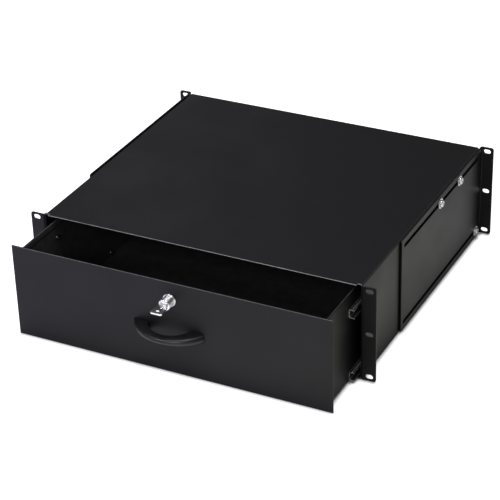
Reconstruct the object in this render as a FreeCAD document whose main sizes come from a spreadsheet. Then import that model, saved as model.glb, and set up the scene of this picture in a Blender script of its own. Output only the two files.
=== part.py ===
import FreeCAD
import Part
import Sketcher
import math
import os
import re
from FreeCAD import Placement, Rotation, Vector

# Lockable sliding drawer for a 19-inch rack, three units high.
# X to the right as seen from the front, Y to the back, Z up, millimetres.
# The origin is the centre of the front ears' slot pattern on the ears' rear face, which
# is the face that meets the rack. The drawer stands open by drawer_open.

SIZES = [
    # Case
    ("slot_span", 465.1, "slot to slot across the rack"),
    ("slot_rise", 60.325, "middle slot to corner slot"),
    ("slot_side", 8.75, "slot's middle to the ear's outer edge"),
    ("slot_edge", 5.925, "corner slot's middle to the ear's end"),
    ("slot_case", 10.55, "slot's middle to the case's side"),
    ("base_drop", 1.35, "case bottom below the ears' lower edge"),
    ("top_drop", 0.35, "case top below the ears' upper edge"),
    ("case_depth", 400.0, "ears' rear face to the back of the case"),
    ("cover_sheet", 1.5, "sheet of the cover, its sides and ears"),
    ("bend_radius", 1.0, "inside radius of the small folds"),
    ("cover_bend", 1.5, "inside radius of the folds between top and sides"),
    ("ear_bend", 2.0, "inside radius of the folds between sides and ears"),
    ("floor_sheet", 1.2, "sheet of the floor"),
    ("back_sheet", 1.2, "sheet of the rear wall"),
    ("weld_flange", 12.0, "depth of the flanges that are spot-welded"),
    ("tab_height", 18.0, "height of the floor's welding tabs"),
    ("tab_length", 18.0, "length of the floor's welding tabs"),
    ("tab_front", 2.0, "ear plane to the front tabs"),
    ("tab_gap", 3.75, "rear tabs to the rear rivet nut"),
    ("relief_gap", 5.0, "notch between the top and the fold of an ear"),
    # Rack slots
    ("slot_length", 10.0, "ear slot, end to end"),
    ("slot_width", 6.5, "ear slot, edge to edge"),
    ("ear_round", 3.0, "radius of the ears' outer corners"),
    # Rear brackets
    ("bracket_sheet", 2.0, "sheet of the rear brackets"),
    ("bracket_front", 118.0, "front end of a bracket behind the ear plane"),
    ("bracket_gap", 3.0, "case back to a bracket's ear"),
    ("bracket_slot_front", 7.0, "long slots' front ends to the plate's front"),
    ("bracket_slot_rear", 12.0, "long slots' rear ends to the bracket's ear"),
    ("bracket_slot_width", 5.6, "width of the long slots"),
    ("bracket_slot_inset", 10.5, "slot centre to the bracket's edge"),
    ("bracket_round", 2.5, "radius of the bracket's front corners"),
    # Bracket screws, seen from the side
    ("screw_inset", 13.5, "rear screw to the case back"),
    ("screw_pitch", 69.5, "screw to screw along the case"),
    ("screw_shank", 5.0, "screw thread diameter"),
    ("screw_head", 10.0, "screw head diameter"),
    ("screw_head_height", 3.2, "screw head height"),
    ("screw_reach", 10.0, "length of thread behind the washer"),
    ("washer_width", 14.0, "washer diameter"),
    ("washer_sheet", 1.2, "washer thickness"),
    ("rivnut_flange", 11.0, "rivet nut flange diameter"),
    ("stand_off", 1.0, "rivet nut flange, which holds the bracket off the case"),
    ("rivnut_barrel", 7.5, "rivet nut barrel diameter"),
    ("rivnut_reach", 6.0, "rivet nut barrel inside the case"),
    # Drawer
    ("drawer_open", 77.7, "how far the drawer stands open"),
    ("front_gap", 0.3, "closed drawer front to the case"),
    ("front_inset", 1.75, "case's side to the drawer front's edge"),
    ("front_drop", 3.9, "drawer front's top edge below the case top"),
    ("front_lift", 0.3, "drawer front above the case bottom"),
    ("front_sheet", 1.5, "drawer front sheet"),
    ("front_edge", 0.4, "radius of the drawer front's edges"),
    ("slide_space", 9.9, "tray side to the case's inside"),
    ("tray_drop", 7.8, "tray's rim below the top sheet"),
    ("tray_lift", 3.6, "tray bottom above the case bottom"),
    ("tray_gap", 20.6, "tray's rear to the case's rear wall, drawer closed"),
    ("tray_sheet", 1.2, "tray sheet"),
    ("tray_round", 1.0, "radius of the tray's outer corners and of its rim"),
    ("hem_height", 7.5, "height of the hem along the tray's rim"),
    ("stud_shank", 4.0, "welded stud diameter"),
    ("stud_reach", 6.0, "welded stud behind the drawer front"),
    ("stud_side", 20.6, "stud to the tray's side"),
    ("stud_inset", 15.3, "stud to the tray's rim or bottom"),
    ("stud_nut", 7.0, "stud nut across flats"),
    ("stud_nut_height", 2.6, "stud nut height"),
    # Handle
    ("handle_span", 98.0, "handle width over its feet"),
    ("handle_reach", 27.0, "handle in front of the drawer"),
    ("handle_level", -7.0, "handle centre above the origin"),
    ("handle_side", 0.8, "handle centre to the right of the origin"),
    ("handle_bar", 9.0, "thickness of the bow at its middle"),
    ("handle_foot", 20.0, "width of a foot on the drawer front"),
    ("handle_tall", 15.5, "height of the feet"),
    ("handle_waist", 10.0, "height of the bow at its middle"),
    ("handle_round", 3.5, "radius of the bow's outer edges"),
    ("handle_inner_round", 1.5, "radius of the bow's inner edges"),
    ("handle_screw_inset", 13.0, "handle screw to the foot's outer end"),
    ("handle_screw_shank", 4.0, "handle screw thread"),
    ("handle_screw_head", 8.0, "handle screw head diameter"),
    ("handle_screw_height", 2.4, "handle screw head height"),
    ("handle_screw_depth", 8.0, "handle screw thread in the foot"),
    # Slides
    ("slide_front", 26.0, "front end of the case rails"),
    ("slide_gap", 44.0, "rear end of the rails to the case back, drawer closed"),
    ("runner_front", 64.5, "front end of the drawer rails, drawer closed"),
    ("slide_lift", 0.2, "lower rails above the floor"),
    ("slide_drop", 34.5, "upper rails' centre below the case top"),
    ("rail_sheet", 1.2, "rail sheet"),
    ("rail_bend", 0.5, "inside radius of the rails' folds"),
    ("race_gap", 1.3, "drawer rail to case rail across the balls"),
    ("rail_lip", 7.4, "case rail depth"),
    ("runner_height", 12.0, "drawer rail height"),
    ("runner_lip", 7.1, "drawer rail depth"),
    ("ball_width", 2.0, "ball diameter"),
    ("ball_play", 0.05, "play of a ball in its race and cage"),
    ("ball_count", 4, "balls in a row"),
    ("ball_pitch", 20.0, "ball to ball"),
    ("cage_sheet", 0.5, "cage sheet"),
    ("cage_bend", 0.1, "inside radius of the cage's folds"),
    ("cage_lip", 1.4, "ball's middle to the cage's edge"),
    ("cage_length", 90.0, "cage length"),
    ("cage_rear_gap", 121.0, "rear end of the rails to the cage, drawer closed"),
    ("rail_rivet", 4.0, "rail rivet shank"),
    ("rail_rivet_head", 6.4, "rail rivet countersink"),
    ("rail_rivet_inset", 20.0, "rail end to its first rivet"),
    ("runner_screw", 3.5, "drawer rail screw thread"),
    ("runner_screw_head", 7.0, "drawer rail screw head"),
    ("runner_screw_height", 2.0, "drawer rail screw head height"),
    ("runner_screw_inset", 19.0, "drawer rail end to its first screw"),
    # Lock
    ("lock_drop", 29.2, "lock axis below the case top"),
    ("lock_side", 3.7, "lock axis to the right of the origin"),
    ("lock_reach", 13.3, "lock in front of the drawer"),
    ("lock_flange", 17.4, "lock collar diameter"),
    ("lock_flange_sheet", 1.0, "lock collar thickness"),
    ("lock_barrel", 15.0, "lock housing diameter"),
    ("lock_behind", 22.0, "lock housing behind the drawer's face"),
    ("lock_rounding", 0.8, "rounding of the lock's edges"),
    ("plug_width", 10.0, "lock plug diameter"),
    ("plug_play", 0.08, "play of the plug in the housing"),
    ("plug_square", 6.0, "square end of the plug"),
    ("cam_sheet", 2.0, "cam thickness"),
    ("cam_gap", 0.3, "cam behind the housing"),
    ("cam_width", 16.0, "cam width"),
    ("cam_tip_gap", 2.4, "turned-up cam below the top sheet"),
    ("cam_round", 4.0, "radius of the cam's corners"),
    ("cam_play", 0.1, "play of the cam on its square"),
    ("cam_screw_shank", 3.0, "cam screw thread"),
    ("cam_screw_head", 8.0, "cam screw head"),
    ("cam_screw_height", 2.2, "cam screw head height"),
    ("cam_screw_reach", 5.0, "cam screw thread length"),
    ("lock_nut_flats", 20.0, "lock nut across flats"),
    ("lock_nut_height", 3.5, "lock nut height"),
    ("keeper_gap", 0.8, "cam to the keeper, drawer closed"),
    ("keeper_drop", 10.0, "keeper below the top sheet"),
    ("keeper_leg", 14.0, "keeper's welded leg"),
    ("keeper_width", 40.0, "keeper width"),
    # Key
    ("key_sheet", 2.0, "key thickness"),
    ("key_blade", 7.0, "key blade width"),
    ("key_play", 0.15, "play of the blade in the keyway"),
    ("key_depth", 20.0, "blade inside the plug"),
    ("key_neck", 12.0, "width of the bow at the lock"),
    ("key_bow", 16.2, "width of the bow at its end"),
    ("key_bow_length", 20.5, "length of the bow"),
    ("key_taper", 13.7, "length over which the bow widens"),
    ("key_hole", 5.0, "hole for the ring"),
    ("key_hole_inset", 5.0, "ring hole to the bow's end"),
    ("key_round", 3.0, "radius of the bow's corners"),
    ("key_stop", 1.0, "bow in front of the lock's face"),
    ("key_pad", 5.5, "raised pad on the bow, diameter"),
    ("key_pad_inset", 4.4, "pad to the bow's end at the lock"),
    ("key_pad_rise", 0.4, "raised pad above the bow"),
    ("key_cut_pitch", 3.2, "cut to cut along the blade"),
    ("key_cut_first", 5.5, "lock face to the first cut"),
    ("key_cut_flat", 0.7, "half width of a cut's floor"),
]

doc = FreeCAD.newDocument("RackDrawer")
sheet = doc.addObject("Spreadsheet::Sheet", "Sizes")
for row, (alias, amount, note) in enumerate(SIZES, start=1):
    sheet.set(f"A{row}", note)
    sheet.set(f"B{row}", str(amount))
    sheet.setAlias(f"B{row}", alias)
doc.recompute()

NAMES = {alias for alias, amount, note in SIZES}
WORD = re.compile(r"[a-z]\w*")
subparts = []


# Sizes that follow from the driving ones, written as expressions of them.

EAR_OUT = "(slot_span / 2 + slot_side)"
EAR_HALF = "(slot_rise + slot_edge)"
SIDE_OUT = "(slot_span / 2 - slot_case)"
SIDE_IN = f"({SIDE_OUT} - cover_sheet)"
CASE_LOW = f"(-{EAR_HALF} - base_drop)"
CASE_HIGH = f"({EAR_HALF} - top_drop)"
TOP_UNDER = f"({CASE_HIGH} - cover_sheet)"
FLOOR_TOP = f"({CASE_LOW} + floor_sheet)"
PLATE_IN = f"({SIDE_OUT} + stand_off)"
PLATE_OUT = f"({PLATE_IN} + bracket_sheet)"
BRACKET_REAR = "(case_depth + bracket_gap)"
BRACKET_BACK = f"({BRACKET_REAR} + bracket_sheet)"
BRACKET_SLOT_LEVEL = f"({EAR_HALF} - bracket_slot_inset)"
SCREW_REAR = "(case_depth - screw_inset)"
FRONT_FACE = "(-cover_sheet - front_gap - front_sheet)"
FRONT_BACK = "(-cover_sheet - front_gap)"
FRONT_LOW = f"({CASE_LOW} + front_lift)"
FRONT_HIGH = f"({CASE_HIGH} - front_drop)"
TRAY_SIDE = f"({SIDE_IN} - slide_space)"
TRAY_LOW = f"({CASE_LOW} + tray_lift)"
TRAY_HIGH = f"({TOP_UNDER} - tray_drop)"
TRAY_REAR = "(case_depth - back_sheet - tray_gap)"
SLIDE_REAR = "(case_depth - slide_gap)"
RAIL_WEB = f"({SIDE_IN} - rail_sheet)"
RAIL_TIP = f"({SIDE_IN} - rail_lip)"
RUNNER_WEB = f"({TRAY_SIDE} + rail_sheet)"
RUNNER_TIP = f"({TRAY_SIDE} + runner_lip)"
BALL_OUT = f"(({RAIL_TIP} + {RUNNER_TIP}) / 2)"
BALL_UP = "(runner_height / 2 + race_gap / 2)"
RAIL_HALF = "(runner_height / 2 + race_gap + rail_sheet)"
RACE = "(ball_width / 2 + ball_play)"
CAGE_REAR = f"({SLIDE_REAR} - cage_rear_gap)"
CAGE_FRONT = f"({CAGE_REAR} - cage_length)"
CAGE_WEB_OUT = f"(({RUNNER_TIP} + {RAIL_WEB} + cage_sheet) / 2)"
SLIDE_LEVELS = {
    "lower": f"({FLOOR_TOP} + slide_lift + {RAIL_HALF})",
    "upper": f"({CASE_HIGH} - slide_drop)",
}
LOCK_LEVEL = f"({CASE_HIGH} - lock_drop)"
CAM_FRONT = "(lock_behind + cam_gap)"
KEEPER_REAR = f"({FRONT_FACE} + {CAM_FRONT} - keeper_gap)"
BRACKET_SCREWS = [
    (f"({SCREW_REAR} - 2 * screw_pitch)", BRACKET_SLOT_LEVEL),
    (f"({SCREW_REAR} - screw_pitch)", BRACKET_SLOT_LEVEL),
    (SCREW_REAR, f"(-{BRACKET_SLOT_LEVEL})"),
]
KEY_CUTS = (0.8, 1.6, 0.8, 1.2)
OPEN = "(-drawer_open)"
HALF_OPEN = "(-drawer_open / 2)"
SIDES = {"left": "-1", "right": "1"}


def full(text):
    """Names the sheet in front of each size of an expression."""
    return WORD.sub(lambda found: "Sizes." + found[0] if found[0] in NAMES else found[0], text)


def number(text):
    """The present value of an expression, as a plain number."""
    return float(sheet.evalExpression(full(text)))


def bind(thing, prop, text):
    thing.setExpression(prop, full(text))


def place(thing, x="0", y="0", z="0"):
    for axis, text in zip("xyz", (x, y, z)):
        if text != "0":
            bind(thing, "Placement.Base." + axis, text)


def keep(thing, label):
    """Enters a finished piece in the list of sub-parts."""
    thing.Label = label
    subparts.append(thing)
    return thing


# Sketches


def new_sketch(body, name, plane, low, high):
    """A sketch on one of the body's own planes, from which a pad runs low to high."""
    sketch = body.newObject("Sketcher::SketchObject", name)
    support = next(item for item in body.Origin.OriginFeatures if item.Role == plane)
    sketch.AttachmentSupport = (support, [""])
    sketch.MapMode = "FlatFace"
    start = f"-({high})" if plane == "XZ_Plane" else low
    bind(sketch, "AttachmentOffset.Base.z", start)
    return sketch


def fix(sketch, kind, *where, size):
    """A dimension of the sketch that follows an expression."""
    index = sketch.addConstraint(Sketcher.Constraint(kind, *where, number(size)))
    bind(sketch, f"Constraints[{index}]", size)


def fix_point(sketch, line, end, x, y):
    fix(sketch, "DistanceX", -1, 1, line, end, size=x)
    fix(sketch, "DistanceY", -1, 1, line, end, size=y)


def outline(sketch, corners):
    """A closed outline of upright and level lines; a corner (x, y, radius) is rounded."""
    count = len(corners)
    points = [Vector(number(corner[0]), number(corner[1]), 0) for corner in corners]
    radii = [number(corner[2]) if len(corner) > 2 else 0.0 for corner in corners]
    steps = [(points[(i + 1) % count] - points[i]).normalize() for i in range(count)]
    lines = []
    for i in range(count):
        start = points[i] + steps[i] * radii[i]
        stop = points[(i + 1) % count] - steps[i] * radii[(i + 1) % count]
        lines.append(sketch.addGeometry(Part.LineSegment(start, stop), False))
    for i in range(count):
        here, following = corners[i], corners[(i + 1) % count]
        if here[0] == following[0]:
            sketch.addConstraint(Sketcher.Constraint("Vertical", lines[i]))
            fix(sketch, "DistanceX", -1, 1, lines[i], 1, size=here[0])
        else:
            sketch.addConstraint(Sketcher.Constraint("Horizontal", lines[i]))
            fix(sketch, "DistanceY", -1, 1, lines[i], 1, size=here[1])
    for i in range(count):
        before, line = lines[i - 1], lines[i]
        if not radii[i]:
            sketch.addConstraint(Sketcher.Constraint("Coincident", before, 2, line, 1))
            continue
        center = points[i] - steps[i - 1] * radii[i] + steps[i] * radii[i]
        came_from = points[i] - steps[i - 1] * radii[i] - center
        goes_to = points[i] + steps[i] * radii[i] - center
        left_turn = steps[i - 1].cross(steps[i]).z > 0
        first, last = (came_from, goes_to) if left_turn else (goes_to, came_from)
        begin = math.atan2(first.y, first.x)
        finish = math.atan2(last.y, last.x)
        if finish < begin:
            finish += 2 * math.pi
        circle = Part.Circle(center, Vector(0, 0, 1), radii[i])
        arc = sketch.addGeometry(Part.ArcOfCircle(circle, begin, finish), False)
        enter, leave = (1, 2) if left_turn else (2, 1)
        sketch.addConstraint(Sketcher.Constraint("Tangent", before, 2, arc, enter))
        sketch.addConstraint(Sketcher.Constraint("Tangent", arc, leave, line, 1))
        fix(sketch, "Radius", arc, size=corners[i][2])


def polygon(sketch, corners):
    """A closed outline of straight lines, each corner held by its two coordinates."""
    points = [Vector(number(x), number(y), 0) for x, y in corners]
    count = len(points)
    lines = []
    for i in range(count):
        segment = Part.LineSegment(points[i], points[(i + 1) % count])
        lines.append(sketch.addGeometry(segment, False))
    for i in range(count):
        sketch.addConstraint(Sketcher.Constraint("Coincident", lines[i - 1], 2, lines[i], 1))
        fix_point(sketch, lines[i], 1, *corners[i])


def hexagon(sketch, x, y, flats):
    corners = []
    for turn in range(6):
        across = f"({flats}) / sqrt(3) * cos({turn * 60}deg)"
        up = f"({flats}) / sqrt(3) * sin({turn * 60}deg)"
        corners.append((f"{x} + {across}", f"{y} + {up}"))
    polygon(sketch, corners)


def hole(sketch, x, y, radius):
    circle = Part.Circle(Vector(number(x), number(y), 0), Vector(0, 0, 1), number(radius))
    index = sketch.addGeometry(circle, False)
    fix(sketch, "Radius", index, size=radius)
    fix_point(sketch, index, 3, x, y)


def slot(sketch, x, y, length, width):
    """A slot along the sketch's first axis with round ends."""
    radius = f"({width}) / 2"
    half = f"(({length}) - ({width})) / 2"
    size, reach = number(radius), number(half)
    middle = Vector(number(x), number(y), 0)
    ends = (middle - Vector(reach, 0, 0), middle + Vector(reach, 0, 0))
    up = Vector(0, size, 0)
    arcs = []
    for end, begin in zip(ends, (0.5, -0.5)):
        circle = Part.Circle(end, Vector(0, 0, 1), size)
        arc = Part.ArcOfCircle(circle, begin * math.pi, (begin + 1) * math.pi)
        arcs.append(sketch.addGeometry(arc, False))
    lower = sketch.addGeometry(Part.LineSegment(ends[0] - up, ends[1] - up), False)
    upper = sketch.addGeometry(Part.LineSegment(ends[1] + up, ends[0] + up), False)
    for joint in (
        (arcs[0], 2, lower, 1),
        (lower, 2, arcs[1], 1),
        (arcs[1], 2, upper, 1),
        (upper, 2, arcs[0], 1),
    ):
        sketch.addConstraint(Sketcher.Constraint("Tangent", *joint))
    fix(sketch, "Radius", arcs[0], size=radius)
    sketch.addConstraint(Sketcher.Constraint("Equal", arcs[0], arcs[1]))
    fix_point(sketch, arcs[0], 3, f"{x} - {half}", y)
    fix_point(sketch, arcs[1], 3, f"{x} + {half}", y)


# Features


def new_body(label):
    return keep(doc.addObject("PartDesign::Body", label), label)


def extrude(body, name, plane, low, high, *draw, cut=False):
    """Pads, or cuts, what the draw functions sketch from low to high across the plane."""
    sketch = new_sketch(body, name + "_sketch", plane, low, high)
    for action in draw:
        action(sketch)
    feature = body.newObject("PartDesign::Pocket" if cut else "PartDesign::Pad", name)
    feature.Profile = sketch
    feature.Type = "Length"
    feature.Reversed = cut
    bind(feature, "Length", f"({high}) - ({low})")
    return feature


def revolve(body, name, corners):
    """Turns an outline of (radius, along) corners about the body's Y axis."""
    sketch = new_sketch(body, name + "_sketch", "XY_Plane", "0", "0")
    outline(sketch, corners)
    feature = body.newObject("PartDesign::Revolution", name)
    feature.Profile = sketch
    feature.ReferenceAxis = (sketch, ["V_Axis"])
    feature.Angle = 360
    return feature


def round_edges(body, name, radius, chosen):
    """Rounds the edges of the body so far that the test chosen picks."""
    doc.recompute()
    base = body.Tip
    names = []
    for index, edge in enumerate(base.Shape.Edges, start=1):
        if chosen(edge):
            names.append(f"Edge{index}")
    feature = body.newObject("PartDesign::Fillet", name)
    feature.Base = (base, names)
    bind(feature, "Radius", radius)
    return feature


def along(edge, axis):
    """True for a straight edge that runs along an axis, 0 to 2 for X to Z."""
    box = edge.BoundBox
    spans = (box.XLength, box.YLength, box.ZLength)
    straight = isinstance(edge.Curve, (Part.Line, Part.LineSegment))
    return straight and all(spans[i] < 1e-6 for i in range(3) if i != axis)


def rectangle(x_low, x_high, y_low, y_high, radius=None):
    corners = [(x_high, y_low), (x_high, y_high), (x_low, y_high), (x_low, y_low)]
    if radius:
        corners = [corner + (radius,) for corner in corners]
    return lambda sketch: outline(sketch, corners)


def block(body, name, x_low, x_high, y_low, y_high, z_low, z_high, cut=False):
    shape = rectangle(x_low, x_high, y_low, y_high)
    return extrude(body, name, "XY_Plane", z_low, z_high, shape, cut=cut)


def turned(name, steps, direction):
    """One turned piece: cylinders (diameter, from, to) along a direction from its place."""
    pieces = []
    for low, high, start, stop in steps:
        if low == high:
            piece = doc.addObject("Part::Cylinder", name + "_step")
            bind(piece, "Radius", f"({low}) / 2")
        else:
            piece = doc.addObject("Part::Cone", name + "_cone")
            bind(piece, "Radius1", f"({low}) / 2")
            bind(piece, "Radius2", f"({high}) / 2")
        bind(piece, "Height", f"({stop}) - ({start})")
        piece.Placement = Placement(Vector(0, 0, 0), Rotation(Vector(0, 0, 1), direction))
        for axis, part in zip("xyz", direction):
            if part:
                bind(piece, "Placement.Base." + axis, f"({start}) * {part:.0f}")
        pieces.append(piece)
    if len(pieces) == 1:
        return pieces[0]
    joined = doc.addObject("Part::MultiFuse", name)
    joined.Shapes = pieces
    return joined


def drilled(name, outer, bore, reach, direction):
    """Takes a bore through a turned piece, from its place to reach."""
    tool = turned(name + "_bore", [(bore, bore, "0", reach)], direction)
    result = doc.addObject("Part::Cut", name)
    result.Base = outer
    result.Tool = tool
    return result


def group(label, pieces):
    """Identical fasteners in one sub-part."""
    compound = doc.addObject("Part::Compound", label)
    compound.Links = pieces
    return keep(compound, label)


def case_cover():
    """Top, two sides and front ears, folded from one sheet."""
    body = new_body("case_cover")
    outer = "cover_bend + cover_sheet"
    extrude(body, "fold", "XZ_Plane", "ear_bend", "case_depth", lambda sketch: outline(sketch, [
        (SIDE_OUT, CASE_LOW),
        (SIDE_OUT, CASE_HIGH, outer),
        (f"-{SIDE_OUT}", CASE_HIGH, outer),
        (f"-{SIDE_OUT}", CASE_LOW),
        (f"-{SIDE_IN}", CASE_LOW),
        (f"-{SIDE_IN}", TOP_UNDER, "cover_bend"),
        (SIDE_IN, TOP_UNDER, "cover_bend"),
        (SIDE_IN, CASE_LOW),
    ]))
    edge = f"({SIDE_IN} - relief_gap)"
    block(body, "top_edge", f"-{edge}", edge, "-cover_sheet", "ear_bend", TOP_UNDER, CASE_HIGH)
    for side, sign in SIDES.items():
        corners = [
            (f"{sign} * {SIDE_IN}", "2 * ear_bend"),
            (f"{sign} * {SIDE_IN}", "-cover_sheet", "ear_bend + cover_sheet"),
            (f"{sign} * {EAR_OUT}", "-cover_sheet"),
            (f"{sign} * {EAR_OUT}", "0"),
            (f"{sign} * {SIDE_OUT}", "0", "ear_bend"),
            (f"{sign} * {SIDE_OUT}", "2 * ear_bend"),
        ]
        ear = lambda sketch, corners=corners: outline(sketch, corners)
        extrude(body, side + "_ear", "XY_Plane", f"-{EAR_HALF}", EAR_HALF, ear)
    ear_edge = number(EAR_OUT)
    at_edge = lambda edge: along(edge, 1) and abs(abs(edge.BoundBox.XMin) - ear_edge) < 0.01
    round_edges(body, "ear_corners", "ear_round", at_edge)
    extrude(body, "rack_slots", "XZ_Plane", "-2 * cover_sheet", "cover_sheet", rack_slots, cut=True)
    extrude(body, "nut_holes", "YZ_Plane", f"-{EAR_OUT}", EAR_OUT, *[
        lambda sketch, y=y, z=z: hole(sketch, y, z, "rivnut_barrel / 2")
        for y, z in BRACKET_SCREWS
    ], cut=True)
    extrude(body, "rivet_holes", "YZ_Plane", f"-{EAR_OUT}", EAR_OUT, *[
        lambda sketch, y=y, z=z: hole(sketch, y, z, "rail_rivet / 2")
        for y, z in rail_rivet_places()
    ], cut=True)


def rack_slots(sketch):
    for sign in SIDES.values():
        for rise in ("-slot_rise", "0", "slot_rise"):
            slot(sketch, f"{sign} * slot_span / 2", rise, "slot_length", "slot_width")


def rail_rivet_places():
    """Rivets of the case rails as (y, z): three along each rail."""
    first = "(slide_front + rail_rivet_inset)"
    last = f"({SLIDE_REAR} - rail_rivet_inset)"
    middle = f"(({first} + {last}) / 2)"
    return [(y, z) for z in SLIDE_LEVELS.values() for y in (first, middle, last)]


def case_floor():
    """Bottom plate with four tabs that are spot-welded to the sides."""
    body = new_body("case_floor")
    block(body, "plate", f"-{SIDE_IN}", SIDE_IN, "0", "case_depth", CASE_LOW, FLOOR_TOP)
    rear_end = f"({SCREW_REAR} - rivnut_barrel / 2 - tab_gap)"
    starts = {"front": "tab_front", "rear": f"({rear_end} - tab_length)"}
    for place_name, start in starts.items():
        for side, sign in SIDES.items():
            near = f"{sign} * {SIDE_IN}"
            far = f"{sign} * ({SIDE_IN} - floor_sheet)"
            low, high = (far, near) if sign == "1" else (near, far)
            block(
                body, f"{place_name}_{side}_tab", low, high, start, f"{start} + tab_length",
                CASE_LOW, f"{CASE_LOW} + tab_height",
            )


def case_back():
    """Rear wall with flanges that turn forward under the top and beside the sides."""
    body = new_body("case_back")
    inner = "case_depth - back_sheet"
    front = "case_depth - weld_flange"
    block(body, "wall", f"-{SIDE_IN}", SIDE_IN, inner, "case_depth", FLOOR_TOP, TOP_UNDER)
    high = number(TOP_UNDER)
    in_fold = lambda edge: along(edge, 1) and abs(edge.BoundBox.ZMin - high) < 0.01
    round_edges(body, "upper_corners", "cover_bend", in_fold)
    clear = f"({SIDE_IN} - 2 * weld_flange)"
    block(
        body, "top_flange", f"-{clear}", clear, front, "case_depth",
        f"{TOP_UNDER} - back_sheet", TOP_UNDER,
    )
    block(
        body, "bottom_flange", f"-{clear}", clear, front, "case_depth",
        FLOOR_TOP, f"{FLOOR_TOP} + back_sheet",
    )
    half = f"({BRACKET_SLOT_LEVEL} - weld_flange)"
    for side, sign in SIDES.items():
        near = f"{sign} * {SIDE_IN}"
        far = f"{sign} * ({SIDE_IN} - back_sheet)"
        low, high = (far, near) if sign == "1" else (near, far)
        block(body, side + "_flange", low, high, front, "case_depth", f"-{half}", half)


def lock_keeper():
    """Angle under the top, behind whose lip the lock's cam catches."""
    body = new_body("lock_keeper")
    front = f"({KEEPER_REAR} - keeper_leg)"
    low = f"({TOP_UNDER} - keeper_drop)"
    under = f"({TOP_UNDER} - cover_sheet)"
    extrude(body, "angle", "YZ_Plane", "lock_side - keeper_width / 2", "lock_side + keeper_width / 2",
            lambda sketch: outline(sketch, [
                (front, TOP_UNDER),
                (front, under),
                (f"({KEEPER_REAR} - cover_sheet)", under, "bend_radius"),
                (f"({KEEPER_REAR} - cover_sheet)", low),
                (KEEPER_REAR, low),
                (KEEPER_REAR, TOP_UNDER, "bend_radius + cover_sheet"),
            ]))


def channel(sign, web, inner, tip, level, half, gauge, bend):
    """The outline of a channel: its web from web to inner, its flanges' ends at tip."""
    up, down = f"({level} + {half})", f"({level} - {half})"
    corners = [
        (f"{sign} * {tip}", up),
        (f"{sign} * {web}", up, f"{bend} + {gauge}"),
        (f"{sign} * {web}", down, f"{bend} + {gauge}"),
        (f"{sign} * {tip}", down),
        (f"{sign} * {tip}", f"({down} + {gauge})"),
        (f"{sign} * {inner}", f"({down} + {gauge})", bend),
        (f"{sign} * {inner}", f"({up} - {gauge})", bend),
        (f"{sign} * {tip}", f"({up} - {gauge})"),
    ]
    return lambda sketch: outline(sketch, corners)


def races(sign, level):
    """The two round races that the balls run in."""
    def draw(sketch):
        for rise in (f"({level} + {BALL_UP})", f"({level} - {BALL_UP})"):
            hole(sketch, f"{sign} * {BALL_OUT}", rise, RACE)
    return draw


def case_rail(side, row):
    """Outer member of a ball slide, on the inside of the case."""
    sign, level = SIDES[side], SLIDE_LEVELS[row]
    body = new_body(f"case_rail_{row}_{side}")
    profile = channel(sign, SIDE_IN, RAIL_WEB, RAIL_TIP, level, RAIL_HALF, "rail_sheet", "rail_bend")
    front, rear = "slide_front - rail_sheet", f"{SLIDE_REAR} + rail_sheet"
    extrude(body, "rail", "XZ_Plane", "slide_front", SLIDE_REAR, profile)
    extrude(body, "race", "XZ_Plane", front, rear, races(sign, level), cut=True)
    for index, (y, z) in enumerate(rail_rivet_places()):
        if z == level:
            countersink(body, sign, index, y, z)


def countersink(body, sign, index, y, z):
    """A rivet hole with a cone for the flush head on the web's inner face."""
    for name, diameter in (("bore", "rail_rivet"), ("sink", "rail_rivet_head")):
        low = RAIL_WEB if name == "bore" else f"({RAIL_WEB} - rail_sheet / 2)"
        high = SIDE_IN if name == "bore" else f"({RAIL_WEB} + rail_sheet / 2)"
        if sign == "-1":
            low, high = f"-{high}", f"-{low}"
        extrude(body, f"rivet_{name}_{index}", "YZ_Plane", low, high,
                lambda sketch, d=diameter: hole(sketch, y, z, f"{d} / 2"), cut=True)


def rail_rivets():
    """Flush rivets that hold the case rails to the case sides."""
    rivets = []
    for sign in SIDES.values():
        for y, z in rail_rivet_places():
            rivet = turned("rail_rivet", [
                ("rail_rivet_head", "rail_rivet_head", "0", "rail_sheet / 2"),
                ("rail_rivet", "rail_rivet", "0", "rail_sheet + cover_sheet"),
            ], Vector(int(sign), 0, 0))
            place(rivet, f"{sign} * {RAIL_WEB}", y, z)
            rivets.append(rivet)
    group("rail_rivets", rivets)


def drawer_rail(side, row):
    """Inner member of a ball slide, on the outside of the tray."""
    sign, level = SIDES[side], SLIDE_LEVELS[row]
    body = new_body(f"drawer_rail_{row}_{side}")
    profile = channel(
        sign, TRAY_SIDE, RUNNER_WEB, RUNNER_TIP, level, "runner_height / 2", "rail_sheet", "rail_bend"
    )
    front, rear = "runner_front - rail_sheet", f"{SLIDE_REAR} + rail_sheet"
    extrude(body, "rail", "XZ_Plane", "runner_front", SLIDE_REAR, profile)
    extrude(body, "race", "XZ_Plane", front, rear, races(sign, level), cut=True)
    extrude(body, "screw_holes", "YZ_Plane", f"-{EAR_OUT}", EAR_OUT, *[
        lambda sketch, y=y: hole(sketch, y, level, "runner_screw / 2")
        for y, z in runner_screw_places() if z == level
    ], cut=True)
    place(body, y=OPEN)


def runner_screw_places():
    """Screws of the drawer rails as (y, z): three along each rail."""
    first = "(runner_front + runner_screw_inset)"
    last = f"({SLIDE_REAR} - runner_screw_inset)"
    middle = f"(({first} + {last}) / 2)"
    return [(y, z) for z in SLIDE_LEVELS.values() for y in (first, middle, last)]


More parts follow.
